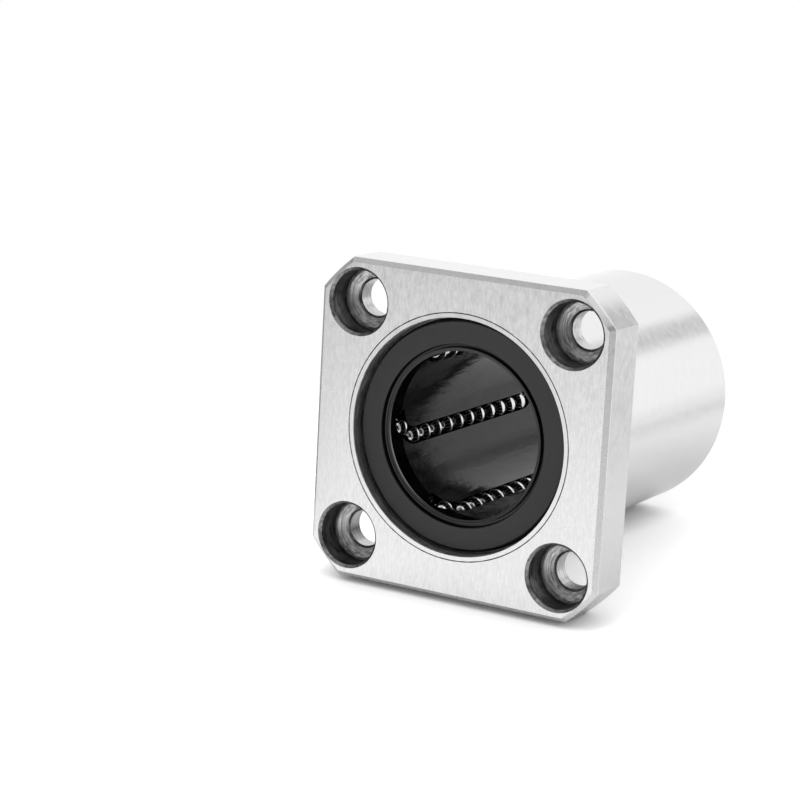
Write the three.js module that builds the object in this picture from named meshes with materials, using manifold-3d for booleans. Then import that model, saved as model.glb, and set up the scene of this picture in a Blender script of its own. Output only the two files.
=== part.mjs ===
// Square-flange linear ball bushing for a 30 mm shaft, millimetres, +Z up.
// The bore axis is Y. The origin is on the axis at mid-length, and the flange's front face looks along -Y.
// Around the shaft lie six ball circuits: a loaded row that rolls on the shaft, a return row that runs back
// outside it, and a half turn at each end. "Angle" below is measured round Y, from +X towards +Z.
import * as THREE from "three";
import { mergeVertices } from "three/addons/utils/BufferGeometryUtils.js";
import Module from "manifold-3d";

const wasm = await Module();
wasm.setup();

// Overall sizes
const LENGTH = 64;
const OUTER_R = 22.5;
const SHAFT_R = 15;
const FRONT_Y = -LENGTH / 2;
const REAR_BEVEL = 0.8;

// Flange: a 58 mm square whose corners are turned off to 74 mm across
const FLANGE_SIDE = 58;
const FLANGE_THICK = 10;
const FLANGE_CORNER_R = 37;
const FLANGE_BEVEL = 0.85;
const FLANGE_BACK_Y = FRONT_Y + FLANGE_THICK;

// Grinding-relief neck behind the flange
const NECK_R = 21.7;
const NECK_WIDTH = 3;
const NECK_FILLET = 0.6;

// Counterbored bolt holes on a 60 mm circle, at the corners
const BOLT_CIRCLE_R = 30;
const BOLT_HOLE_R = 3.3;
const BOLT_HOLE_CHAMFER = 0.4;
const COUNTERBORE_R = 5.6;
const COUNTERBORE_DEPTH = 6.1;
const COUNTERBORE_CHAMFER = 0.55;

// Seal recess at each end, with the retaining ring's groove at its foot; depths count from the end face
const RECESS_R = 21.05;
const RECESS_DEPTH = 4.6;
const GROOVE_R = 21.65;
const GROOVE_DEPTH = 3.6;

// Balls and their circuits
const CIRCUITS = 6;
const FIRST_ANGLE = 14;
const BALL_R = 3.969 / 2;
const BALL_PITCH = 4;
const BALLS_PER_ROW = 11;
const LOADED_R = SHAFT_R + BALL_R;
const RETURN_R = 18.25;
const ROW_ANGLE = 26;
const TURN_AXIAL = 4.02;
const ROW_END = (BALL_PITCH * (BALLS_PER_ROW - 1)) / 2;
const TURN_BALL_STEPS = [60, 120];
const ROW_NECK_START = 0.92;
const ROW_CLEARANCE = 0.3;
const TURN_CLEARANCE = 0.35;

// Sleeve bore: hardened lands over the loaded rows, wider relief where the balls turn
const LAND_CLEARANCE = 0.18;
const LAND_R = LOADED_R + BALL_R + LAND_CLEARANCE;
const LAND_END = 20.6;
const LAND_CHAMFER = 0.8;
const RELIEF_R = 20.5;

// Retainer
const RETAINER_BORE_R = 15.7;
const RETAINER_R = 18.85;
const RETAINER_END = 27.1;
const RETAINER_RIM_R = 20.15;
const RETAINER_RIM_WIDTH = 0.7;
const RETAINER_LEAD_IN_R = 16.6;
const RETAINER_LEAD_IN = 2.7;

// Seal: a flat ring, then a groove, then a lip that wipes the shaft
const SEAL_OUTER_R = 20.75;
const SEAL_EDGE = 0.5;
const SEAL_FRONT = 1.85;
const SEAL_BACK = 3.4;
const SEAL_GROOVE_DEPTH = 0.75;
const SEAL_GROOVE_WIDTH = 0.2;
const SEAL_GROOVE_SLOPE = 0.2;
const SEAL_LIP_R = 14.9;
const SEAL_LIP_WIDTH = 0.9;
const SEAL_LIP_BEVEL = 0.5;
const SEAL_LIP_SETBACK = 0.15;

// Retaining ring: a split ring between seal and retainer
const RING_INNER_R = 18.4;
const RING_OUTER_R = 21.35;
const RING_NEAR = 3.75;
const RING_FAR = 4.5;
const RING_GAP_ANGLE = 14;

// How far a cutting shape runs past the surface it cuts
const OVERRUN = 1;

// Facets
const ROUND_SIDES = 32;
const HOLE_SIDES = 16;
const CORNER_SIDES = 4;
const TRACK_SIDES = 8;
const TURN_STEPS = 5;
const BALL_SIDES = 6;
const BALL_STACKS = 4;

const steel = new THREE.MeshStandardMaterial({ color: 0xd6d6d8, metalness: 1, roughness: 0.32 });
const ballSteel = new THREE.MeshStandardMaterial({ color: 0xe4e4e6, metalness: 1, roughness: 0.08 });
const ringSteel = new THREE.MeshStandardMaterial({ color: 0x6e6e70, metalness: 1, roughness: 0.45 });
const resin = new THREE.MeshStandardMaterial({ color: 0x0c0c0d, metalness: 0, roughness: 0.25 });
const rubber = new THREE.MeshStandardMaterial({ color: 0x2c2c2d, metalness: 0, roughness: 0.75 });

const degrees = THREE.MathUtils.degToRad;

function solidFrom(geometry) {
  const bare = geometry.clone();
  bare.deleteAttribute("normal");
  bare.deleteAttribute("uv");
  const merged = mergeVertices(bare, 1e-4);
  return new wasm.Manifold(
    new wasm.Mesh({
      numProp: 3,
      vertProperties: new Float32Array(merged.attributes.position.array),
      triVerts: new Uint32Array(merged.index.array),
    }),
  );
}

function geometryFrom(solid) {
  const mesh = solid.getMesh();
  const geometry = new THREE.BufferGeometry();
  geometry.setAttribute("position", new THREE.BufferAttribute(mesh.vertProperties, 3));
  geometry.setIndex(new THREE.BufferAttribute(mesh.triVerts, 1));
  geometry.computeVertexNormals();
  return geometry;
}

// A ring or disc round Y. The outline lists [radius, y] and turns anticlockwise with y drawn upwards.
function turned(outline, sides = ROUND_SIDES) {
  const points = outline.map(([r, y]) => new THREE.Vector2(r, y));
  const onAxis = outline[0][0] === 0 && outline.at(-1)[0] === 0;
  if (!onAxis) points.push(points[0].clone());
  return new THREE.LatheGeometry(points, sides);
}

// The same outline measured from an end face: end is -1 for the flange end and 1 for the plain end.
function turnedAtEnd(outline, end) {
  const placed = outline.map(([r, depth]) => [r, end * (LENGTH / 2 - depth)]);
  return turned(end < 0 ? placed : placed.reverse());
}

function polar(radius, angle, y) {
  const a = degrees(angle);
  return new THREE.Vector3(radius * Math.cos(a), y, radius * Math.sin(a));
}

// Where a ball's centre lies in the half turn: step 0 is the end of the loaded row, 180 of the return row.
function turnPoint(circuitAngle, end, step) {
  const share = (1 - Math.cos(degrees(step))) / 2;
  const radius = LOADED_R + (RETURN_R - LOADED_R) * share;
  const y = end * (ROW_END + TURN_AXIAL * Math.sin(degrees(step)));
  return polar(radius, circuitAngle - ROW_ANGLE * share, y);
}

class TurnPath extends THREE.Curve {
  constructor(circuitAngle, end) {
    super();
    this.circuitAngle = circuitAngle;
    this.end = end;
  }
  getPoint(t, target = new THREE.Vector3()) {
    return target.copy(turnPoint(this.circuitAngle, this.end, 180 * t));
  }
}

function turnTrack(circuitAngle, end) {
  const section = new THREE.Shape();
  section.absarc(0, 0, BALL_R + TURN_CLEARANCE, 0, 2 * Math.PI);
  const tube = new THREE.ExtrudeGeometry(section, {
    steps: TURN_STEPS,
    curveSegments: TRACK_SIDES / 2,
    extrudePath: new TurnPath(circuitAngle, end),
  });
  return solidFrom(tube);
}

function rowTrack(radius, angle) {
  const length = 2 * ROW_END + OVERRUN;
  const trackR = BALL_R + ROW_CLEARANCE;
  const track = new THREE.CylinderGeometry(trackR, trackR, length, TRACK_SIDES);
  const place = polar(radius, angle, 0);
  return solidFrom(track.translate(place.x, place.y, place.z));
}

function circuitAngles() {
  return Array.from({ length: CIRCUITS }, (_, i) => FIRST_ANGLE + (360 / CIRCUITS) * i);
}

function flangePlate() {
  const half = FLANGE_SIDE / 2;
  const lean = Math.acos(half / FLANGE_CORNER_R);
  const outline = new THREE.Shape();
  for (let corner = 0; corner < 4; corner += 1) {
    const start = (corner * Math.PI) / 2 + lean;
    const end = ((corner + 1) * Math.PI) / 2 - lean;
    outline.absarc(0, 0, FLANGE_CORNER_R, start, end);
  }
  const plate = new THREE.ExtrudeGeometry(outline, {
    depth: FLANGE_THICK - 2 * FLANGE_BEVEL,
    curveSegments: CORNER_SIDES,
    bevelThickness: FLANGE_BEVEL,
    bevelSize: FLANGE_BEVEL,
    bevelOffset: -FLANGE_BEVEL,
    bevelSegments: 1,
  });
  return solidFrom(plate.rotateX(Math.PI / 2).translate(0, FLANGE_BACK_Y - FLANGE_BEVEL, 0));
}

// The cylinder with its neck; its front part is inside the flange.
function sleeveBarrel() {
  const neckEnd = FLANGE_BACK_Y + NECK_WIDTH;
  const rear = LENGTH / 2;
  return solidFrom(
    turned([
      [0, FRONT_Y + OVERRUN],
      [NECK_R, FRONT_Y + OVERRUN],
      [NECK_R + NECK_FILLET, FLANGE_BACK_Y],
      [NECK_R, FLANGE_BACK_Y + NECK_FILLET],
      [NECK_R, neckEnd],
      [OUTER_R, neckEnd],
      [OUTER_R, rear - REAR_BEVEL],
      [OUTER_R - REAR_BEVEL, rear],
      [0, rear],
    ]),
  );
}

// One end of the sleeve's bore, from the end face in to mid-length.
function sleeveBoreOutline(end) {
  const at = (depth) => end * (LENGTH / 2 - depth);
  const steps = [
    [0, at(-OVERRUN)],
    [RECESS_R, at(-OVERRUN)],
    [RECESS_R, at(GROOVE_DEPTH)],
    [GROOVE_R, at(GROOVE_DEPTH)],
    [GROOVE_R, at(RECESS_DEPTH)],
    [RELIEF_R, at(RECESS_DEPTH)],
    [RELIEF_R, end * LAND_END],
    [LAND_R, end * (LAND_END - LAND_CHAMFER)],
  ];
  return end < 0 ? steps : steps.reverse();
}

function sleeveBore() {
  return solidFrom(turned([...sleeveBoreOutline(-1), ...sleeveBoreOutline(1)]));
}

function boltHole(angle) {
  const floor = FRONT_Y + COUNTERBORE_DEPTH;
  const hole = turned(
    [
      [0, FRONT_Y - OVERRUN],
      [COUNTERBORE_R + COUNTERBORE_CHAMFER + OVERRUN, FRONT_Y - OVERRUN],
      [COUNTERBORE_R, FRONT_Y + COUNTERBORE_CHAMFER],
      [COUNTERBORE_R, floor],
      [BOLT_HOLE_R + BOLT_HOLE_CHAMFER, floor],
      [BOLT_HOLE_R, floor + BOLT_HOLE_CHAMFER],
      [BOLT_HOLE_R, FLANGE_BACK_Y - BOLT_HOLE_CHAMFER],
      [BOLT_HOLE_R + BOLT_HOLE_CHAMFER + OVERRUN, FLANGE_BACK_Y + OVERRUN],
      [0, FLANGE_BACK_Y + OVERRUN],
    ],
    HOLE_SIDES,
  );
  const place = polar(BOLT_CIRCLE_R, angle, 0);
  return solidFrom(hole.translate(place.x, place.y, place.z));
}

function flangedSleeve() {
  let sleeve = flangePlate().add(sleeveBarrel()).subtract(sleeveBore());
  for (const angle of circuitAngles()) {
    sleeve = sleeve.subtract(rowTrack(RETURN_R, angle - ROW_ANGLE));
  }
  for (const angle of [45, 135, 225, 315]) sleeve = sleeve.subtract(boltHole(angle));
  return geometryFrom(sleeve);
}

// A black resin tube. Each circuit's loaded row opens into its bore through a slot narrower than a ball.
function ballRetainer() {
  const rimInner = RETAINER_END - RETAINER_RIM_WIDTH;
  let cage = solidFrom(
    turned([
      [RETAINER_LEAD_IN_R, -RETAINER_END],
      [RETAINER_RIM_R, -RETAINER_END],
      [RETAINER_RIM_R, -rimInner],
      [RETAINER_R, -rimInner],
      [RETAINER_R, rimInner],
      [RETAINER_RIM_R, rimInner],
      [RETAINER_RIM_R, RETAINER_END],
      [RETAINER_LEAD_IN_R, RETAINER_END],
      [RETAINER_BORE_R, RETAINER_END - RETAINER_LEAD_IN],
      [RETAINER_BORE_R, RETAINER_LEAD_IN - RETAINER_END],
    ]),
  );
  for (const angle of circuitAngles()) {
    cage = cage.subtract(rowTrack(LOADED_R, angle)).subtract(rowTrack(RETURN_R, angle - ROW_ANGLE));
    for (const end of [-1, 1]) cage = cage.subtract(turnTrack(angle, end));
  }
  return geometryFrom(cage);
}

function endSeal(end) {
  const lipFace = SEAL_FRONT + SEAL_LIP_SETBACK;
  const lipOuter = SEAL_LIP_R + SEAL_LIP_WIDTH;
  const grooveFoot = SEAL_FRONT + SEAL_GROOVE_DEPTH;
  const grooveInner = lipOuter + SEAL_GROOVE_SLOPE;
  const grooveOuter = grooveInner + SEAL_GROOVE_WIDTH;
  return turnedAtEnd(
    [
      [SEAL_OUTER_R, SEAL_BACK],
      [SEAL_LIP_R + SEAL_LIP_BEVEL, SEAL_BACK],
      [SEAL_LIP_R, lipFace + SEAL_LIP_BEVEL],
      [SEAL_LIP_R + SEAL_LIP_BEVEL, lipFace],
      [lipOuter, lipFace],
      [grooveInner, grooveFoot],
      [grooveOuter, grooveFoot],
      [grooveOuter + SEAL_GROOVE_SLOPE, SEAL_FRONT],
      [SEAL_OUTER_R - SEAL_EDGE, SEAL_FRONT],
      [SEAL_OUTER_R, SEAL_FRONT + SEAL_EDGE],
    ],
    end,
  );
}

function retainingRing(end) {
  const half = degrees(RING_GAP_ANGLE / 2);
  const outline = new THREE.Shape();
  outline.absarc(0, 0, RING_OUTER_R, Math.PI / 2 + half, Math.PI / 2 - half + 2 * Math.PI);
  outline.absarc(0, 0, RING_INNER_R, Math.PI / 2 - half + 2 * Math.PI, Math.PI / 2 + half, true);
  const thick = RING_FAR - RING_NEAR;
  const ring = new THREE.ExtrudeGeometry(outline, {
    depth: thick,
    curveSegments: ROUND_SIDES / 2,
    bevelEnabled: false,
  });
  const low = end < 0 ? FRONT_Y + RING_NEAR : LENGTH / 2 - RING_FAR;
  return ring.rotateX(Math.PI / 2).translate(0, low + thick, 0);
}

// A straight row of balls about the Y axis, joined by short necks so that the row is one body.
function ballRow() {
  const outline = [[0, -ROW_END - BALL_R]];
  for (let ball = 0; ball < BALLS_PER_ROW; ball += 1) {
    const centre = ball * BALL_PITCH - ROW_END;
    for (const share of [-ROW_NECK_START, 0, ROW_NECK_START]) {
      outline.push([BALL_R * Math.sqrt(1 - share * share), centre + BALL_R * share]);
    }
  }
  outline.push([0, ROW_END + BALL_R]);
  return turned(outline, BALL_SIDES);
}

function ball() {
  return new THREE.SphereGeometry(BALL_R, BALL_SIDES, BALL_STACKS);
}

const bushing = new THREE.Group();

function addPart(name, geometry, material, place = new THREE.Vector3()) {
  const part = new THREE.Mesh(geometry, material);
  part.name = name;
  part.position.copy(place);
  bushing.add(part);
}

function addCircuit(number, angle) {
  const name = `circuit${number}`;
  addPart(`${name}_loaded_row`, ballRow(), ballSteel, polar(LOADED_R, angle, 0));
  addPart(`${name}_return_row`, ballRow(), ballSteel, polar(RETURN_R, angle - ROW_ANGLE, 0));
  for (const [endName, end] of [["front", -1], ["rear", 1]]) {
    TURN_BALL_STEPS.forEach((step, i) => {
      addPart(`${name}_${endName}_turn_ball_${i + 1}`, ball(), ballSteel, turnPoint(angle, end, step));
    });
  }
}

addPart("flanged_sleeve", flangedSleeve(), steel);
addPart("ball_retainer", ballRetainer(), resin);
addPart("front_seal", endSeal(-1), rubber);
addPart("rear_seal", endSeal(1), rubber);
addPart("front_retaining_ring", retainingRing(-1), ringSteel);
addPart("rear_retaining_ring", retainingRing(1), ringSteel);
circuitAngles().forEach((angle, i) => addCircuit(i + 1, angle));

export default bushing;
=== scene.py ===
import math
from collections import namedtuple

import bmesh
import bpy
from mathutils import Matrix, Vector


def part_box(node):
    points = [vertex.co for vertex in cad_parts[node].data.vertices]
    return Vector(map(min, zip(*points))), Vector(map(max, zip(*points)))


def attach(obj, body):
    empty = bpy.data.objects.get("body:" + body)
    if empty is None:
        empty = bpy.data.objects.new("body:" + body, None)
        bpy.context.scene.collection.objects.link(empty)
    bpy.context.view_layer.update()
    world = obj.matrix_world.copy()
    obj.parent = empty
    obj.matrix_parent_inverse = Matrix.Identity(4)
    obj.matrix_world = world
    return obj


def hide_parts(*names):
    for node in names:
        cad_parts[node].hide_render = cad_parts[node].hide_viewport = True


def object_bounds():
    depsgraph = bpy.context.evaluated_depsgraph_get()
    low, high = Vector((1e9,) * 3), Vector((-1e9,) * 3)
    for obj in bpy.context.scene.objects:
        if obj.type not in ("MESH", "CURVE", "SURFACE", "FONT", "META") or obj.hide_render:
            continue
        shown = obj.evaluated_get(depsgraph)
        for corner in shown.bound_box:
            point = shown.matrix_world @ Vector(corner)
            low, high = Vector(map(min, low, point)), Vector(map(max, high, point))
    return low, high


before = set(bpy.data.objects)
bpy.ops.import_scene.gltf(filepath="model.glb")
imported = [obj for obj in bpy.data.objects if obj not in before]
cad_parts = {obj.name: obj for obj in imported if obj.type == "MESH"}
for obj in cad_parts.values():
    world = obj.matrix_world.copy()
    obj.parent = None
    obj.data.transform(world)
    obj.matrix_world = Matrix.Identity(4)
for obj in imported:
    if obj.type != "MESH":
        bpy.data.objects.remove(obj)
cad_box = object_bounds()

# Lengths are millimetres in the shared frame, turned into metres where a mesh is made. The bore axis is
# Y, the flange's front face looks along -Y, and angles run round Y from +X towards +Z. A depth counts
# from an end face inwards, and an end is -1 at the flange and 1 at the plain end.
MM = 0.001
HALF_SIDE = cad_box[1][0] / MM
REAR = cad_box[1][1] / MM
FRONT = -REAR

# Camera
CAMERA_AIM = (-22.7, -13.3, 0.4)
CAMERA_DISTANCE = 490.2
CAMERA_AZIMUTH = 30.5
CAMERA_ELEVATION = 11.88
CAMERA_ROLL = 3.1
CAMERA_LENS = 120.0

# Sleeve
BARREL_R = 22.5
REAR_BEVEL = 0.8
CORNER_R = 37.0
FLANGE_THICK = 10.0
BACK = FRONT + FLANGE_THICK
BEVEL = 0.85
NECK_R = 21.7
NECK_WIDTH = 3.0
NECK_FILLET = 0.6
RECESS_R = 21.05
RECESS_DEPTH = 4.6
FACED_R = 21.85
SCRIBED_LINE = 0.2
GROOVE_R = 21.65
GROOVE_DEPTH = 3.6

# Bolt holes
BOLT_CIRCLE_R = 30.0
BOLT_ANGLES = (45, 135, 225, 315)
HOLE_R = 3.3
HOLE_CHAMFER = 0.4
COUNTERBORE_R = 5.6
COUNTERBORE_DEPTH = 6.1
COUNTERBORE_CHAMFER = 0.55
COUNTERBORE_DISH = 0.5

# Balls and their circuits
CIRCUITS = 6
FIRST_ANGLE = 14
BALL_R = 1.9845
BALL_PITCH = 4.0
BALLS_PER_ROW = 11
LOADED_R = 16.9845
RETURN_R = 18.25
ROW_ANGLE = 26.0
TURN_AXIAL = 4.02
ROW_END = BALL_PITCH * (BALLS_PER_ROW - 1) / 2
ROW_CLEARANCE = 0.1
TURN_CLEARANCE = 0.2
TURN_BALLS = 2

# Bore of the sleeve
LAND_R = 19.149
RELIEF_R = 20.5
LAND_END = 20.6

# Retainer
RETAINER_BORE_R = 15.7
RETAINER_R = 18.85
RETAINER_END = 27.1
RIM_R = 20.15
RIM_WIDTH = 0.7
LEAD_IN_R = 16.6
LEAD_IN = 2.7

# Seal
SEAL_OUTER_R = 20.75
SEAL_FACE_R = 20.15
SEAL_GROOVE_R = 16.3
SEAL_FRONT = 1.85
SEAL_BACK = 3.4
SEAL_LIP_R = 14.95

# Retaining ring
RING_INNER_R = 18.4
RING_OUTER_R = 21.35
RING_NEAR = 3.75
RING_FAR = 4.5
RING_GAP_ANGLE = 14.0

# Fineness of the meshes
ROUND_SIDES = 256
HOLE_SIDES = 96
TRACK_SIDES = 32
TURN_STEPS = 28
ARC_STEP = 15.0
SHARP_ANGLE = 28.0

# Stage
FLOOR_TILT = 6.86
FLOOR_POINT = (0.0, -22.85, -29.0)
FLOOR_R = 135.0
FLOOR_FADES_R = 74.25
FLOOR_CLEAR_R = 132.3
FLOOR_GLOW = 0.32
SHADOW_REACH = 5.0
LAMP_AZIMUTH = -20.0
LAMP_ELEVATION = 60.0
LAMP_DISTANCE = 450.0
LAMP_SIZE = 400.0
LAMP_POWER = 0.9


# Node helpers

def add_node(tree, kind, inputs=None, **settings):
    """Adds a node with these settings. Each input is a value, or another node's output to link to."""
    node = tree.nodes.new(kind)
    for name, value in settings.items():
        setattr(node, name, value)
    for name, value in (inputs or {}).items():
        if isinstance(value, bpy.types.NodeSocket):
            tree.links.new(value, node.inputs[name])
        else:
            node.inputs[name].default_value = value
    return node


def calculate(tree, operation, a, b=0.0):
    return add_node(tree, "ShaderNodeMath", {0: a, 1: b}, operation=operation).outputs[0]


def spread(tree, value, low, high, start=0.3, end=0.7):
    """Maps a noise's middle values, start to end, to low to high."""
    inputs = {"Value": value, "From Min": start, "From Max": end, "To Min": low, "To Max": high}
    return add_node(tree, "ShaderNodeMapRange", inputs).outputs[0]


def place(tree):
    """The point on the surface in the row frame, in metres."""
    return add_node(tree, "ShaderNodeTexCoord").outputs["Object"]


def noise(tree, vector, scale, detail=3.0, roughness=0.55):
    """Noise with its own scale along X, Y and Z, in waves per millimetre."""
    stretched = add_node(
        tree, "ShaderNodeMapping", {"Vector": vector, "Scale": [s / MM for s in scale]}
    ).outputs[0]
    inputs = {"Vector": stretched, "Scale": 1.0, "Detail": detail, "Roughness": roughness}
    return add_node(tree, "ShaderNodeTexNoise", inputs).outputs["Fac"]


def turning(tree, point, offset=0.0):
    """The point's radius, its place along Y, and its X, which lets rings vary on their way round. With
    an offset the radius is from the bolt holes' axes, that far from the bore axis along X and Z."""
    axes = add_node(tree, "ShaderNodeSeparateXYZ", {"Vector": point})
    squares = []
    for axis in ("X", "Z"):
        distance = calculate(tree, "ABSOLUTE", axes.outputs[axis])
        across = calculate(tree, "SUBTRACT", distance, offset * MM)
        squares.append(calculate(tree, "MULTIPLY", across, across))
    radius = calculate(tree, "SQRT", calculate(tree, "ADD", *squares))
    inputs = {"X": radius, "Y": axes.outputs["Y"], "Z": axes.outputs["X"]}
    return add_node(tree, "ShaderNodeCombineXYZ", inputs).outputs[0]


def grey(tree, value):
    """A neutral colour of that brightness."""
    inputs = {"Red": value, "Green": value, "Blue": value}
    return add_node(tree, "ShaderNodeCombineColor", inputs).outputs[0]


def new_material(name):
    """An empty material with a Principled shader on its output."""
    material = bpy.data.materials.new(name)
    material.use_nodes = True
    tree = material.node_tree
    tree.nodes.clear()
    shader = add_node(tree, "ShaderNodeBsdfPrincipled")
    add_node(tree, "ShaderNodeOutputMaterial", {"Surface": shader.outputs[0]})
    return material, tree, shader


def link(tree, source, shader, socket):
    tree.links.new(source, shader.inputs[socket])


# Materials

# Bare machined steel. tone is its brightness, grain the scratches' fineness along each axis, and depth
# their height in mm. The tone varies by variation in the scratches and by blotch over larger clouds.
# With an offset, as in turning(), the scratches are rings left by a tool, and grain is along the
# radius, Y and X.
Steel = namedtuple(
    "Steel",
    "tone roughness grain depth variation blotch anisotropy offset",
    defaults=(0.06, 0.04, 0.0, None),
)


def steel(name, tone, roughness, grain, depth, variation, blotch, anisotropy, offset):
    """A material from the fields of a Steel."""
    material, tree, shader = new_material(name)
    shader.inputs["Metallic"].default_value = 1.0
    shader.inputs["Specular Tint"].default_value = (0.78, 0.78, 0.78, 1.0)
    point = place(tree)
    clouds = noise(tree, point, (0.6, 0.6, 0.6), detail=4.0)
    scratches = noise(tree, point if offset is None else turning(tree, point, offset), grain)
    tones = calculate(
        tree,
        "ADD",
        spread(tree, scratches, tone - variation, tone + variation),
        spread(tree, clouds, -blotch, blotch),
    )
    link(tree, grey(tree, tones), shader, "Base Color")
    rough = calculate(
        tree,
        "ADD",
        spread(tree, scratches, roughness * 0.9, roughness * 1.1),
        spread(tree, clouds, -0.03, 0.03),
    )
    link(tree, rough, shader, "Roughness")
    bump = add_node(
        tree, "ShaderNodeBump", {"Height": scratches, "Strength": 1.0, "Distance": depth * MM}
    )
    link(tree, bump.outputs[0], shader, "Normal")
    if anisotropy:
        shader.inputs["Anisotropic"].default_value = anisotropy
        shader.inputs["Anisotropic Rotation"].default_value = 0.25
        tangent = add_node(tree, "ShaderNodeTangent", direction_type="RADIAL", axis="Y")
        link(tree, tangent.outputs[0], shader, "Tangent")
    return material


def black_resin():
    """Glossy moulded resin, with faint flow marks along the bore."""
    material, tree, shader = new_material("black_resin")
    point = place(tree)
    flow = noise(tree, point, (0.5, 0.12, 0.5))
    grain = noise(tree, point, (9.0, 9.0, 9.0))
    shader.inputs["Specular IOR Level"].default_value = 0.15
    link(tree, grey(tree, spread(tree, flow, 0.002, 0.004)), shader, "Base Color")
    link(tree, spread(tree, flow, 0.12, 0.2), shader, "Roughness")
    height = calculate(tree, "ADD", flow, calculate(tree, "MULTIPLY", grain, 0.02))
    bump = add_node(tree, "ShaderNodeBump", {"Height": height, "Distance": 0.09 * MM})
    link(tree, bump.outputs[0], shader, "Normal")
    return material


def rubber(name, dark, light, roughness):
    """Nitrile rubber, dark to light, with faint rings left by its mould."""
    material, tree, shader = new_material(name)
    point = place(tree)
    rings = noise(tree, turning(tree, point), (6.0, 6.0, 0.5))
    dust = noise(tree, point, (4.0, 4.0, 4.0), detail=5.0)
    both = calculate(tree, "ADD", dust, calculate(tree, "MULTIPLY", rings, 0.3))
    link(tree, grey(tree, spread(tree, both, dark, light, start=0.4, end=0.9)), shader, "Base Color")
    link(tree, spread(tree, dust, roughness - 0.05, roughness + 0.05), shader, "Roughness")
    bump = add_node(tree, "ShaderNodeBump", {"Height": both, "Distance": 0.012 * MM})
    link(tree, bump.outputs[0], shader, "Normal")
    return material


# Grain across and along a scratch, in waves per millimetre
FINE = 9.0
LONG = 0.35
HOLE_OFFSET = BOLT_CIRCLE_R * math.sqrt(0.5)

STEELS = {
    # The front face's ground steel has a lighter tone than the same steel on the sides and barrel:
    # painted light on the face.
    "ground_face": Steel(0.72, 0.24, (3.2, 3.2, 0.8), 0.002, 0.06, 0.03),
    "ground_side": Steel(0.53, 0.19, (3.2, 3.2, 0.8), 0.001, 0.025, 0.01),
    "ground_barrel": Steel(0.55, 0.2, (LONG, FINE, LONG), 0.0012, 0.015, 0.01, 0.5),
    "turned_face": Steel(0.52, 0.26, (4.0, 4.0, 0.3), 0.003, 0.06, 0.02, offset=0.0),
    "bevel": Steel(0.53, 0.28, (1.6, 1.6, 1.6), 0.004, 0.03, 0.02),
    "faced_ring": Steel(0.72, 0.24, (5.0, 5.0, 0.5), 0.002, 0.06, offset=0.0),
    "scribed_line": Steel(0.3, 0.5, (0.6, 0.6, 0.6), 0.01, 0.28),
    "recess_wall": Steel(0.72, 0.45, (LONG, 3.5, LONG), 0.05, 0.25),
    "mouth_chamfer": Steel(0.25, 0.4, (1.2, 1.2, 1.2), 0.03, 0.12),
    # The counterbore walls' steel is toned nearly black: painted shade inside the bolt holes.
    "counterbore_wall": Steel(0.07, 0.36, (LONG, 3.0, LONG), 0.02, 0.05),
    "counterbore_floor": Steel(0.48, 0.38, (4.0, 4.0, 1.0), 0.08, 0.34, 0.1, offset=HOLE_OFFSET),
    "hole_wall": Steel(0.4, 0.28, (LONG, 3.0, LONG), 0.02, 0.1),
    "bore_wall": Steel(0.25, 0.3, (LONG, FINE, LONG), 0.003),
    "blackened_neck": Steel(0.025, 0.5, (LONG, 4.0, LONG), 0.01, 0.01, 0.005),
    "spring_steel": Steel(0.18, 0.35, (1.0, 3.0, 1.0), 0.01),
    "ball_steel": Steel(0.52, 0.06, (1.5, 1.5, 1.5), 0.0002, 0.01, 0.01),
}

FINISHES = {name: steel(name, *values) for name, values in STEELS.items()}
FINISHES["black_resin"] = black_resin()
FINISHES["seal_rubber"] = rubber("seal_rubber", 0.018, 0.029, 0.55)
# A darker, glossier copy of the seal rubber: painted shade on the seal's groove, sloping outer edge and
# lip slopes.
FINISHES["shade_painted_rubber"] = rubber("shade_painted_rubber", 0.003, 0.006, 0.35)


# Shapes

# A corner of an outline: for a turned shape u is the radius and v the place along Y. radius rounds the
# corner, and finish is the surface from this corner to the next one.
Corner = namedtuple("Corner", "u v radius finish", defaults=(0.0, None))


def rounded(corners):
    """The same outline with its corners rounded by short straight steps."""
    result = []
    for i, corner in enumerate(corners):
        if not corner.radius:
            result.append(corner)
            continue
        here = Vector((corner.u, corner.v))
        after = corners[(i + 1) % len(corners)]
        to_before = (Vector(corners[i - 1][:2]) - here).normalized()
        to_after = (Vector((after.u, after.v)) - here).normalized()
        half = to_before.angle(to_after) / 2
        centre = here + (to_before + to_after).normalized() * corner.radius / math.sin(half)
        reach = corner.radius / math.tan(half)
        first = here + to_before * reach - centre
        last = here + to_after * reach - centre
        start = math.atan2(first.y, first.x)
        turn = (math.atan2(last.y, last.x) - start + math.pi) % (2 * math.pi) - math.pi
        steps = max(2, round(abs(math.degrees(turn)) / ARC_STEP))
        for step in range(steps + 1):
            a = start + turn * step / steps
            u = centre.x + corner.radius * math.cos(a)
            v = centre.y + corner.radius * math.sin(a)
            result.append(Corner(u, v, 0.0, corner.finish))
    return result


def polar(radius, angle, y, centre=(0.0, 0.0)):
    a = math.radians(angle)
    return Vector((centre[0] + radius * math.cos(a), y, centre[1] + radius * math.sin(a)))


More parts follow.
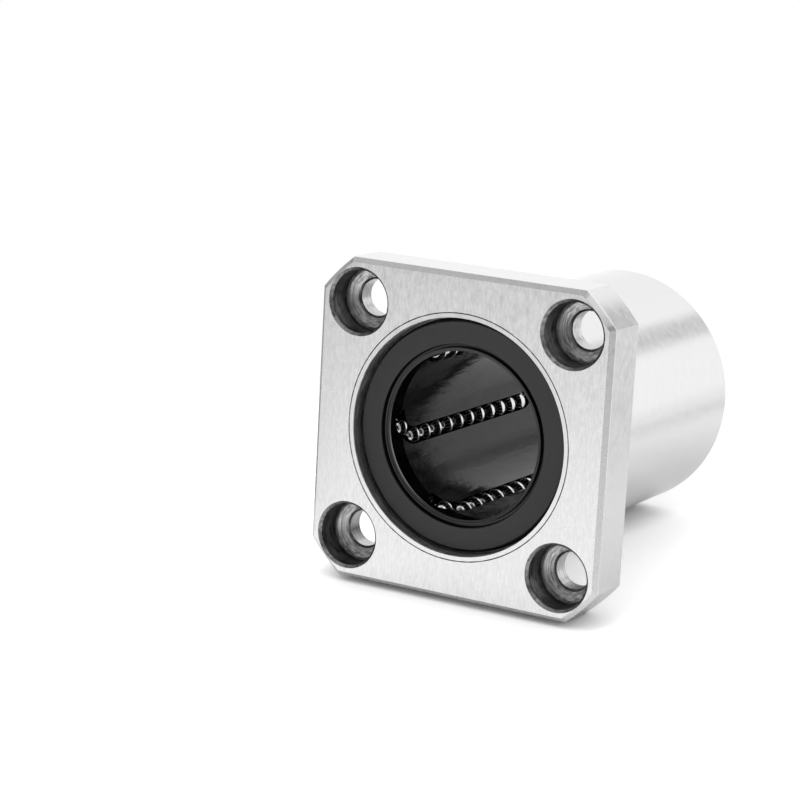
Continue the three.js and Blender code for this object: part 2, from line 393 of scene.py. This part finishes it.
def skin(name, rings, finishes, closed=False):
    """A closed mesh over rings of points. Each ring joins the next, and the last joins the first or both
    ends are capped. finishes names the surface after each ring."""
    used = list(dict.fromkeys(finishes))
    mesh_maker = bmesh.new()
    grid = [[mesh_maker.verts.new(point * MM) for point in ring] for ring in rings]
    sides = len(grid[0])
    for i in range(len(grid) if closed else len(grid) - 1):
        ring, following = grid[i], grid[(i + 1) % len(grid)]
        for j in range(sides):
            k = (j + 1) % sides
            face = mesh_maker.faces.new((ring[j], ring[k], following[k], following[j]))
            face.material_index = used.index(finishes[i])
    if not closed:
        mesh_maker.faces.new(grid[0]).material_index = used.index(finishes[0])
        mesh_maker.faces.new(grid[-1]).material_index = used.index(finishes[-1])
    bmesh.ops.recalc_face_normals(mesh_maker, faces=mesh_maker.faces)
    mesh = bpy.data.meshes.new(name)
    mesh_maker.to_mesh(mesh)
    mesh_maker.free()
    for finish in used:
        mesh.materials.append(FINISHES[finish])
    piece = bpy.data.objects.new(name, mesh)
    bpy.context.scene.collection.objects.link(piece)
    return piece


def turned(name, outline, sides=ROUND_SIDES, centre=(0.0, 0.0), closed=True):
    """A shape turned round Y. An outline that isn't closed gets a flat disc at each end."""
    points = rounded(outline)
    angles = [360 * side / sides for side in range(sides)]
    rings = [[polar(point.u, angle, point.v, centre) for angle in angles] for point in points]
    return skin(name, rings, [point.finish for point in points], closed)


def at_end(outline, end):
    """An outline given by depth from an end face, placed at that end."""
    return [corner._replace(v=end * (REAR - corner.v)) for corner in outline]


def combine(piece, tool, operation="DIFFERENCE"):
    """Cuts or joins the tool into the piece, keeping each surface's finish, and removes the tool."""
    modifier = piece.modifiers.new(operation, "BOOLEAN")
    modifier.operation = operation
    modifier.solver = "EXACT"
    modifier.material_mode = "TRANSFER"
    modifier.object = tool
    evaluated = piece.evaluated_get(bpy.context.evaluated_depsgraph_get())
    piece.data = bpy.data.meshes.new_from_object(evaluated)
    piece.modifiers.clear()
    bpy.data.objects.remove(tool)


def smooth(piece):
    """Shades curved surfaces smooth, keeps real edges sharp and flat faces flat."""
    piece.data.shade_smooth()
    piece.data.set_sharp_from_angle(angle=math.radians(SHARP_ANGLE))
    weighted = piece.modifiers.new("flat_faces", "WEIGHTED_NORMAL")
    weighted.keep_sharp = True


def fit(piece, body, slot, *nodes):
    """Puts a finished piece in the place of the CAD nodes it stands for."""
    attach(piece, body)
    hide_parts(*nodes)


# Sleeve

def flange_outline(inset):
    """The flange's outline seen along Y, moved inwards: four flat sides joined by turned corners."""
    half = HALF_SIDE - inset
    corner_r = CORNER_R - inset
    lean = math.degrees(math.acos(half / corner_r))
    points = []
    for quarter in range(4):
        start = 90 * quarter + lean
        sweep = 90 - 2 * lean
        points += [polar(corner_r, start + sweep * step / 8, 0.0) for step in range(9)]
    return points


def flange_plate():
    points = rounded([
        Corner(2 * BEVEL, FRONT, 0.0, "ground_face"),
        Corner(BEVEL, FRONT, 0.04, "bevel"),
        Corner(0.0, FRONT + BEVEL, 0.3, "ground_side"),
        Corner(0.0, BACK - BEVEL, 0.3, "bevel"),
        Corner(BEVEL, BACK, 0.04, "turned_face"),
        Corner(2 * BEVEL, BACK, 0.0, "turned_face"),
    ])
    rings = [
        [Vector((p.x, point.v, p.z)) for p in flange_outline(point.u)] for point in points
    ]
    return skin("sleeve", rings, [point.finish for point in points])


def barrel():
    neck_end = BACK + NECK_WIDTH
    return turned("barrel", [
        Corner(NECK_R, FRONT + 2, 0.0, "bore_wall"),
        Corner(NECK_R + NECK_FILLET, FRONT + 3, 0.0, "bore_wall"),
        Corner(NECK_R + NECK_FILLET, BACK, 0.0, "blackened_neck"),
        Corner(NECK_R, BACK + 0.1, 0.5, "blackened_neck"),
        Corner(NECK_R, neck_end, 0.2, "blackened_neck"),
        Corner(BARREL_R, neck_end, 0.12, "ground_barrel"),
        Corner(BARREL_R, REAR - REAR_BEVEL, 0.15, "bevel"),
        Corner(BARREL_R - REAR_BEVEL, REAR, 0.1, "turned_face"),
        Corner(NECK_R / 2, REAR, 0.0, "turned_face"),
    ], closed=False)


def bore_outline(end):
    """The bore's steps from one end face in to the land, listed by depth."""
    return at_end([
        Corner(RECESS_R + 0.1, -1.0, 0.0, "recess_wall"),
        Corner(RECESS_R + 0.1, 0.0, 0.0, "recess_wall"),
        Corner(RECESS_R, 0.15, 0.1, "recess_wall"),
        Corner(RECESS_R, GROOVE_DEPTH, 0.0, "bore_wall"),
        Corner(GROOVE_R, GROOVE_DEPTH, 0.0, "bore_wall"),
        Corner(GROOVE_R, RECESS_DEPTH, 0.0, "bore_wall"),
        Corner(RELIEF_R, RECESS_DEPTH, 0.0, "bore_wall"),
        Corner(RELIEF_R, REAR - LAND_END, 0.0, "bore_wall"),
        Corner(LAND_R, REAR - LAND_END + 0.8, 0.0, "bore_wall"),
    ], end)


def bore():
    return turned("bore", bore_outline(-1) + bore_outline(1)[::-1], closed=False)


def scribed_ring():
    """The narrow turned ring round the recess, and the fine line that parts it from the ground face."""
    shallow = 0.02
    return turned("scribed_ring", [
        Corner(RECESS_R - 1, FRONT - 1, 0.0, "faced_ring"),
        Corner(FACED_R + SCRIBED_LINE, FRONT - 1, 0.0, "scribed_line"),
        Corner(FACED_R + SCRIBED_LINE, FRONT, 0.0, "scribed_line"),
        Corner(FACED_R + SCRIBED_LINE / 2, FRONT + 0.2, 0.0, "scribed_line"),
        Corner(FACED_R, FRONT + shallow, 0.0, "faced_ring"),
        Corner(RECESS_R - 1, FRONT + shallow, 0.0, "faced_ring"),
    ])


def bolt_hole(angle):
    place_at = polar(BOLT_CIRCLE_R, angle, 0.0)
    floor = FRONT + COUNTERBORE_DEPTH
    return turned("bolt_hole", [
        Corner(COUNTERBORE_R + COUNTERBORE_CHAMFER, FRONT - 1, 0.0, "mouth_chamfer"),
        Corner(COUNTERBORE_R + COUNTERBORE_CHAMFER, FRONT, 0.0, "mouth_chamfer"),
        Corner(COUNTERBORE_R, FRONT + COUNTERBORE_CHAMFER, 0.15, "counterbore_wall"),
        Corner(COUNTERBORE_R, floor - COUNTERBORE_DISH, 0.9, "counterbore_floor"),
        Corner(HOLE_R + HOLE_CHAMFER, floor, 0.1, "hole_wall"),
        Corner(HOLE_R, floor + HOLE_CHAMFER, 0.1, "hole_wall"),
        Corner(HOLE_R, BACK - HOLE_CHAMFER, 0.1, "bevel"),
        Corner(HOLE_R + HOLE_CHAMFER, BACK, 0.0, "bevel"),
        Corner(HOLE_R + HOLE_CHAMFER, BACK + 1, 0.0, "bevel"),
    ], HOLE_SIDES, (place_at.x, place_at.z), closed=False)


def circuit_angles():
    return [FIRST_ANGLE + 360 / CIRCUITS * circuit for circuit in range(CIRCUITS)]


def return_groove(angle):
    centre = polar(RETURN_R, angle - ROW_ANGLE, 0.0)
    radius = BALL_R + TURN_CLEARANCE
    return turned("return_groove", [
        Corner(radius, -LAND_END - 1, 0.0, "bore_wall"),
        Corner(radius, LAND_END + 1, 0.0, "bore_wall"),
    ], TRACK_SIDES, (centre.x, centre.z), closed=False)


def flanged_sleeve():
    sleeve = flange_plate()
    combine(sleeve, barrel(), "UNION")
    combine(sleeve, scribed_ring())
    combine(sleeve, bore())
    for angle in circuit_angles():
        combine(sleeve, return_groove(angle))
    for angle in BOLT_ANGLES:
        combine(sleeve, bolt_hole(angle))
    smooth(sleeve)
    fit(sleeve, "housing", "ground_steel", "flanged_sleeve")


# Retainer

def turn_point(angle, end, step):
    """A ball's centre in a half turn: step 0 is the loaded row's end and 180 the return row's."""
    share = (1 - math.cos(math.radians(step))) / 2
    radius = LOADED_R + (RETURN_R - LOADED_R) * share
    y = end * (ROW_END + TURN_AXIAL * math.sin(math.radians(step)))
    return polar(radius, angle - ROW_ANGLE * share, y)


def track_ring(point, along, radius):
    """A round section of a ball track, square to the way along it."""
    outward = Vector((point.x, 0.0, point.z)).normalized()
    outward = (outward - along * outward.dot(along)).normalized()
    across = along.cross(outward)
    turns = [2 * math.pi * side / TRACK_SIDES for side in range(TRACK_SIDES)]
    return [point + (outward * math.cos(a) + across * math.sin(a)) * radius for a in turns]


def ball_track(angle):
    """One circuit's tube: up the loaded row, round the rear turn, down the return row and back."""
    steps = [180 * step / TURN_STEPS for step in range(TURN_STEPS + 1)]
    stops = [(1, step) for step in steps] + [(-1, step) for step in reversed(steps)]
    points = [turn_point(angle, end, step) for end, step in stops]
    rings = []
    for i, (_, step) in enumerate(stops):
        along = (points[(i + 1) % len(points)] - points[i - 1]).normalized()
        if step in (0, 180):
            along = Vector((0.0, 1.0 if step == 0 else -1.0, 0.0))
        widening = min(1.0, step / 45)
        radius = BALL_R + ROW_CLEARANCE + (TURN_CLEARANCE - ROW_CLEARANCE) * widening
        rings.append(track_ring(points[i], along, radius))
    return skin("ball_track", rings, ["black_resin"] * len(rings), closed=True)


def retainer():
    rim_inner = RETAINER_END - RIM_WIDTH
    half = [
        Corner(RETAINER_BORE_R, RETAINER_END - LEAD_IN, 0.4, "black_resin"),
        Corner(LEAD_IN_R, RETAINER_END, 0.15, "black_resin"),
        Corner(RIM_R, RETAINER_END, 0.15, "black_resin"),
        Corner(RIM_R, rim_inner, 0.1, "black_resin"),
        Corner(RETAINER_R, rim_inner, 0.1, "black_resin"),
    ]
    mirrored = [corner._replace(v=-corner.v) for corner in reversed(half)]
    piece = turned("retainer", half + mirrored)
    for angle in circuit_angles():
        combine(piece, ball_track(angle))
    smooth(piece)
    fit(piece, "housing", "black_resin", "ball_retainer")


# Seals, rings and balls

def seal(name, end):
    """A flat ring with a sloping outer edge, a groove, and a thin lip that slopes in to the shaft."""
    crest = SEAL_LIP_R + 0.6
    # The groove, the sloping outer edge and most of the lip take the darker copy of the rubber, painted
    # shade where they lie in shadow.
    outline = [
        Corner(SEAL_OUTER_R, SEAL_BACK, 0.1, "shade_painted_rubber"),
        Corner(SEAL_OUTER_R, SEAL_FRONT + 1.0, 0.1, "shade_painted_rubber"),
        Corner(SEAL_FACE_R, SEAL_FRONT, 0.2, "seal_rubber"),
        Corner(SEAL_GROOVE_R, SEAL_FRONT, 0.15, "shade_painted_rubber"),
        Corner(SEAL_GROOVE_R - 0.15, SEAL_FRONT + 1.0, 0.06, "shade_painted_rubber"),
        Corner(crest + 0.15, SEAL_FRONT + 1.0, 0.06, "shade_painted_rubber"),
        Corner(crest + 0.05, SEAL_FRONT + 0.05, 0.05, "seal_rubber"),
        Corner(crest - 0.2, SEAL_FRONT + 0.15, 0.03, "shade_painted_rubber"),
        Corner(crest - 0.25, SEAL_FRONT + 0.3, 0.02, "seal_rubber"),
        Corner(SEAL_LIP_R, SEAL_FRONT + 0.4, 0.06, "shade_painted_rubber"),
        Corner(SEAL_LIP_R + 0.2, SEAL_BACK - 0.3, 0.1, "shade_painted_rubber"),
        Corner(SEAL_LIP_R + 0.7, SEAL_BACK, 0.1, "shade_painted_rubber"),
    ]
    piece = turned(name + "_lip_seal", at_end(outline, end))
    smooth(piece)
    fit(piece, "housing", "seal_rubber", name + "_seal")


def retaining_ring(name, end):
    """A flat spring ring, split at the top."""
    section = rounded(at_end([
        Corner(RING_INNER_R, RING_NEAR, 0.12, "spring_steel"),
        Corner(RING_OUTER_R, RING_NEAR, 0.12, "spring_steel"),
        Corner(RING_OUTER_R, RING_FAR, 0.12, "spring_steel"),
        Corner(RING_INNER_R, RING_FAR, 0.12, "spring_steel"),
    ], end))
    first = 90 + RING_GAP_ANGLE / 2
    sweep = 360 - RING_GAP_ANGLE
    angles = [first + sweep * side / ROUND_SIDES for side in range(ROUND_SIDES + 1)]
    rings = [[polar(point.u, angle, point.v) for point in section] for angle in angles]
    piece = skin(name + "_snap_ring", rings, ["spring_steel"] * len(rings))
    smooth(piece)
    fit(piece, "housing", "spring_steel", name + "_retaining_ring")


def middle(node):
    low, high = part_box(node)
    return (low + high) / 2


def balls(name, body, node, centres):
    """Separate balls in one piece, with their poles along Y."""
    mesh_maker = bmesh.new()
    turn = Matrix.Rotation(math.pi / 2, 4, "X")
    for centre in centres:
        matrix = Matrix.Translation(centre) @ turn
        bmesh.ops.create_uvsphere(
            mesh_maker, u_segments=40, v_segments=20, radius=BALL_R * MM, matrix=matrix
        )
    mesh = bpy.data.meshes.new(name)
    mesh_maker.to_mesh(mesh)
    mesh_maker.free()
    mesh.materials.append(FINISHES["ball_steel"])
    mesh.shade_smooth()
    piece = bpy.data.objects.new(name, mesh)
    bpy.context.scene.collection.objects.link(piece)
    fit(piece, body, "ball_steel", node)


def ball_row(body):
    centre = middle(body)
    steps = [BALL_PITCH * MM * ball - ROW_END * MM for ball in range(BALLS_PER_ROW)]
    balls(body + "_balls", body, body, [centre + Vector((0.0, step, 0.0)) for step in steps])


def turn_ball(circuit, end_name, number):
    body = f"{circuit}_{end_name}_turn"
    node = f"{body}_ball_{number}"
    balls(f"{circuit}_{end_name}_ball_{number}", body, node, [middle(node)])


def circuit_balls():
    for number in range(1, CIRCUITS + 1):
        circuit = f"circuit{number}"
        for row in ("loaded", "return"):
            ball_row(f"{circuit}_{row}_row")
        for end_name in ("front", "rear"):
            for ball in range(1, TURN_BALLS + 1):
                turn_ball(circuit, end_name, ball)


# Camera, floor and light

def camera():
    back = direction(CAMERA_AZIMUTH, CAMERA_ELEVATION)
    data = bpy.data.cameras.new("camera")
    data.lens = CAMERA_LENS
    data.clip_start = 0.01
    viewer = bpy.data.objects.new("camera", data)
    location = (Vector(CAMERA_AIM) + back * CAMERA_DISTANCE) * MM
    aimed = (-back).to_track_quat("-Z", "Y").to_matrix().to_4x4()
    roll = Matrix.Rotation(math.radians(CAMERA_ROLL), 4, "Z")
    viewer.matrix_world = Matrix.Translation(location) @ aimed @ roll
    bpy.context.scene.collection.objects.link(viewer)
    bpy.context.scene.camera = viewer


def floor_material():
    """White paper that is clear towards its edge, so that it runs into the backdrop. It gives off a part
    of its light itself, and less of it where it touches the object, as if lit from all round."""
    material, tree, shader = new_material("white_paper")
    shader.inputs["Base Color"].default_value = (0.82, 0.82, 0.82, 1.0)
    shader.inputs["Emission Color"].default_value = (1.0, 1.0, 1.0, 1.0)
    shader.inputs["Roughness"].default_value = 0.9
    shader.inputs["Specular IOR Level"].default_value = 0.0
    openness = add_node(tree, "ShaderNodeAmbientOcclusion", {"Distance": SHADOW_REACH * MM}, samples=8)
    glow = calculate(tree, "MULTIPLY", openness.outputs["AO"], FLOOR_GLOW)
    link(tree, glow, shader, "Emission Strength")
    reach = add_node(tree, "ShaderNodeVectorMath", {0: place(tree)}, operation="LENGTH")
    fades, clear = FLOOR_FADES_R * MM, FLOOR_CLEAR_R * MM
    solid = spread(tree, reach.outputs["Value"], 1.0, 0.0, start=fades, end=clear)
    link(tree, solid, shader, "Alpha")
    return material


def floor():
    mesh_maker = bmesh.new()
    bmesh.ops.create_circle(mesh_maker, cap_ends=True, segments=96, radius=FLOOR_R * MM)
    mesh = bpy.data.meshes.new("floor")
    mesh_maker.to_mesh(mesh)
    mesh_maker.free()
    mesh.materials.append(floor_material())
    disc = bpy.data.objects.new("floor", mesh)
    tilt = Matrix.Rotation(math.radians(FLOOR_TILT), 4, "X")
    disc.matrix_world = Matrix.Translation(Vector(FLOOR_POINT) * MM) @ tilt
    bpy.context.scene.collection.objects.link(disc)
    return disc


def floor_lamp(lit):
    """A broad lamp in front that lights only the floor, so the shadow falls away from the viewer."""
    way = direction(LAMP_AZIMUTH, LAMP_ELEVATION)
    data = bpy.data.lights.new("floor_lamp", "AREA")
    data.shape = "DISK"
    data.size = LAMP_SIZE * MM
    data.energy = LAMP_POWER
    lamp = bpy.data.objects.new("floor_lamp", data)
    aimed = way.to_track_quat("Z", "Y").to_matrix().to_4x4()
    lamp.matrix_world = Matrix.Translation(way * LAMP_DISTANCE * MM) @ aimed
    lamp.visible_camera = False
    lamp.visible_glossy = False
    bpy.context.scene.collection.objects.link(lamp)
    receivers = bpy.data.collections.new("lit_by_floor_lamp")
    receivers.objects.link(lit)
    lamp.light_linking.receiver_collection = receivers


# The studio is open to a bright room behind, to a brighter ceiling and to white paper below, and dim
# round the viewer. Each opening fades in as the direction's part along an axis goes from start to end.
Opening = namedtuple("Opening", "axis start end light")
OPENINGS = [
    Opening("Y", -0.15, 0.25, 1.65),
    Opening("Z", 0.62, 0.78, 1.8),
    Opening("Z", -0.11, -0.25, 1.45),
]
VIEWER_SIDE = 0.55

# Flags that the steel reflects as soft darker bands: the azimuth and elevation of each, as the camera's,
# the half angles where it is full and where it ends, and how much light it holds back.
Flag = namedtuple("Flag", "azimuth elevation full ends held")
FLAGS = [
    Flag(165, 23, 1.5, 8.0, 0.5),
    Flag(148, -7, 1.0, 6.0, 0.3),
    Flag(154, -12, 0.5, 5.0, 0.4),
    Flag(-72, 58, 8.0, 35.0, 0.5),
    Flag(-105, 10, 12.0, 35.0, 0.55),
    Flag(0, 90, 8.0, 35.0, 0.4),
    Flag(10, 45, 10.0, 26.0, 0.85),
    Flag(28, -8, 10.0, 24.0, 0.8),
]

# Cards that only reflections see: one for the dark round the camera, one for a neighbour on the left.
VIEWER_CARD = ((32, -44, -31), (56, -62, -31), (190, -200, 150), (22, -249, 150))
LEFT_CARD = ((-64, -80, -38), (-64, 25, -25), (-64, 25, 30), (-64, -80, 30))


def ease(tree, value, start, end, low=0.0, high=1.0):
    inputs = {"Value": value, "From Min": start, "From Max": end, "To Min": low, "To Max": high}
    return add_node(tree, "ShaderNodeMapRange", inputs, interpolation_type="SMOOTHSTEP").outputs[0]


def direction(azimuth, elevation):
    """The way to that azimuth and elevation: azimuth 0 is along -Y and 90 along +X."""
    a, e = math.radians(azimuth), math.radians(elevation)
    return Vector((math.sin(a) * math.cos(e), -math.cos(a) * math.cos(e), math.sin(e)))


def card(name, corners, shade):
    """A flat card of an even shade, for reflections only."""
    material, _, shader = new_material(name)
    shader.inputs["Base Color"].default_value = (0.0, 0.0, 0.0, 1.0)
    shader.inputs["Specular IOR Level"].default_value = 0.0
    shader.inputs["Emission Color"].default_value = (shade, shade, shade, 1.0)
    shader.inputs["Emission Strength"].default_value = 1.0
    mesh = bpy.data.meshes.new(name)
    mesh.from_pydata([Vector(corner) * MM for corner in corners], [], [range(len(corners))])
    mesh.materials.append(material)
    sheet = bpy.data.objects.new(name, mesh)
    sheet.visible_camera = False
    sheet.visible_diffuse = False
    sheet.visible_shadow = False
    bpy.context.scene.collection.objects.link(sheet)


def studio_light():
    world = bpy.data.worlds.new("studio")
    world.use_nodes = True
    bpy.context.scene.world = world
    tree = world.node_tree
    tree.nodes.clear()
    way = add_node(tree, "ShaderNodeTexCoord").outputs["Generated"]
    axes = add_node(tree, "ShaderNodeSeparateXYZ", {"Vector": way})
    light = VIEWER_SIDE
    for opening in OPENINGS:
        share = ease(tree, axes.outputs[opening.axis], opening.start, opening.end, high=opening.light)
        light = calculate(tree, "MAXIMUM", light, share)
    for flag in FLAGS:
        inputs = {0: way, 1: direction(flag.azimuth, flag.elevation)}
        nearness = add_node(tree, "ShaderNodeVectorMath", inputs, operation="DOT_PRODUCT")
        near, far = [math.cos(math.radians(angle)) for angle in (flag.full, flag.ends)]
        share = ease(tree, nearness.outputs["Value"], far, near, low=1.0, high=1.0 - flag.held)
        light = calculate(tree, "MULTIPLY", light, share)
    studio = add_node(tree, "ShaderNodeBackground", {"Color": grey(tree, light)})
    backdrop = add_node(tree, "ShaderNodeBackground", {"Color": (1.0, 1.0, 1.0, 1.0)})
    seen = add_node(tree, "ShaderNodeLightPath").outputs["Is Camera Ray"]
    inputs = {0: seen, 1: studio.outputs[0], 2: backdrop.outputs[0]}
    mixed = add_node(tree, "ShaderNodeMixShader", inputs)
    add_node(tree, "ShaderNodeOutputWorld", {"Surface": mixed.outputs[0]})
    bpy.context.scene.view_settings.view_transform = "Standard"


camera()
floor_lamp(floor())
card("viewer_card", VIEWER_CARD, 0.02)
card("left_card", LEFT_CARD, 0.6)
studio_light()
flanged_sleeve()
retainer()
for seal_name, seal_end in (("front", -1), ("rear", 1)):
    seal(seal_name, seal_end)
    retaining_ring(seal_name, seal_end)
circuit_balls()
